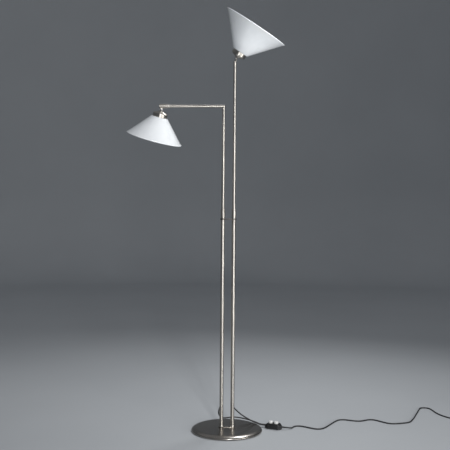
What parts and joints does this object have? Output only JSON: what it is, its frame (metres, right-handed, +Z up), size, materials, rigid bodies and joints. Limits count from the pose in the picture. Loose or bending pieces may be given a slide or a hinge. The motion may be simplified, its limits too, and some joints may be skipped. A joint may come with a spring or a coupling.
{
  "type": "pharmacy floor lamp",
  "caption": "Floor lamp with a weighted round base, twin telescopic poles, an upward glass bowl, a glass-shaded reading head on an arm, and a corded foot switch.",
  "frame": {"origin": "centre of the round base's underside, on the floor", "axes": "+Z up along the poles, -X towards the reading head at rest, +X from the left pole to the right pole, -Y towards the front, where the base is nearest the viewer"},
  "size_m": [1.6773, 0.5717, 1.7668],
  "materials": {
    "nickel": "satin nickel plate, brushed along the tubes",
    "hardware": "zinc plated steel",
    "iron": "rough cast, painted",
    "pad": "dense felt",
    "nylon": "natural nylon",
    "brass": "turned brass",
    "pin_brass": "nickel plated plug pins",
    "opal_glass": "opal white glass, glossy",
    "bulb": "opal lamp bulb",
    "phenolic": "moulded thermoset",
    "black_plastic": "moulded, lightly polished",
    "black_flex": "black flexible cord sheath",
    "white_plastic": "white push buttons"
  },
  "bodies": {
    "frame": {"base_cover": "nickel", "foot_plate": "nickel", "left_ferrule": "nickel", "right_ferrule": "nickel", "left_outer_tube": "nickel", "right_outer_tube": "nickel", "left_clamp_sleeve": "nickel", "right_clamp_sleeve": "nickel", "bridge_plate": "nickel", "left_base_stud": "hardware", "right_base_stud": "hardware", "left_base_nut": "hardware", "right_base_nut": "hardware", "base_weight": "iron", "base_pad": "pad", "left_friction_bush": "nylon", "right_friction_bush": "nylon", "plug_pin_near": "pin_brass", "plug_pin_far": "pin_brass", "switch_mechanism": "phenolic", "switch_base": "black_plastic", "switch_cover": "black_plastic", "plug_body": "black_plastic", "left_cord_relief": "black_flex", "right_cord_relief": "black_flex", "switch_relief_in": "black_flex", "switch_relief_out": "black_flex", "left_lamp_cord": "black_flex", "right_lamp_cord": "black_flex", "mains_cord": "black_flex", "mains_tail": "black_flex", "mains_coil": "black_flex"},
    "left_carriage": {"left_guide_bush": "nylon"},
    "left_pole": {"left_inner_tube": "nickel", "left_arm_tube": "nickel", "left_pole_foot": "brass"},
    "left_swivel": {"left_swivel_sleeve": "nickel", "left_sleeve_cap": "nickel", "left_hinge_screw": "hardware", "left_hinge_nut": "hardware"},
    "left_head": {"left_head_knuckle": "nickel", "left_head_cap": "nickel", "left_lampholder": "phenolic", "left_shade_ring": "phenolic", "left_glass_shade": "opal_glass", "left_bulb": "bulb"},
    "right_carriage": {"right_guide_bush": "nylon"},
    "right_pole": {"right_inner_tube": "nickel", "right_pole_foot": "brass", "right_pole_knuckle": "nickel", "right_hinge_screw": "hardware", "right_hinge_nut": "hardware"},
    "right_head": {"right_head_knuckle": "nickel", "right_head_cap": "nickel", "right_lampholder": "phenolic", "right_shade_ring": "phenolic", "right_glass_shade": "opal_glass", "right_bulb": "bulb"},
    "left_button": {"left_lamp_button": "white_plastic"},
    "right_button": {"right_lamp_button": "white_plastic"}
  },
  "joints": [
    {"name": "left_lift", "type": "slide", "parent": "frame", "child": "left_carriage", "axis": [0, 0, 1], "range_m": [-0.35, 0.1]},
    {"name": "left_pole_swivel", "type": "hinge", "parent": "left_carriage", "child": "left_pole", "pos_m": [-0.023, 0, 0.6], "axis": [0, 0, 1], "range_deg": [-150, 150]},
    {"name": "reading_roll", "type": "hinge", "parent": "left_pole", "child": "left_swivel", "pos_m": [-0.284, 0, 1.3585], "axis": [1, 0, 0], "range_deg": [-110, 85]},
    {"name": "reading_tilt", "type": "hinge", "parent": "left_swivel", "child": "left_head", "pos_m": [-0.284, 0.00287, 1.34429], "axis": [0, 0.9803, 0.1977], "range_deg": [-45, 45]},
    {"name": "right_lift", "type": "slide", "parent": "frame", "child": "right_carriage", "axis": [0, 0, 1], "range_m": [-0.2, 0.15]},
    {"name": "right_pole_swivel", "type": "hinge", "parent": "right_carriage", "child": "right_pole", "pos_m": [0.023, 0, 0.6], "axis": [0, 0, 1], "range_deg": [-150, 150]},
    {"name": "bowl_tilt", "type": "hinge", "parent": "right_pole", "child": "right_head", "pos_m": [0.02674, -0.00141, 1.5588], "axis": [0.3518, 0.9361, 0], "range_deg": [-34.8, 60]},
    {"name": "left_lamp_press", "type": "slide", "parent": "frame", "child": "left_button", "axis": [0, 0, -1], "range_m": [0, 0.003], "stiffness_N_per_m": 600, "springref_m": -0.002},
    {"name": "right_lamp_press", "type": "slide", "parent": "frame", "child": "right_button", "axis": [0, 0, -1], "range_m": [0, 0.003], "stiffness_N_per_m": 600, "springref_m": -0.002}
  ]
}
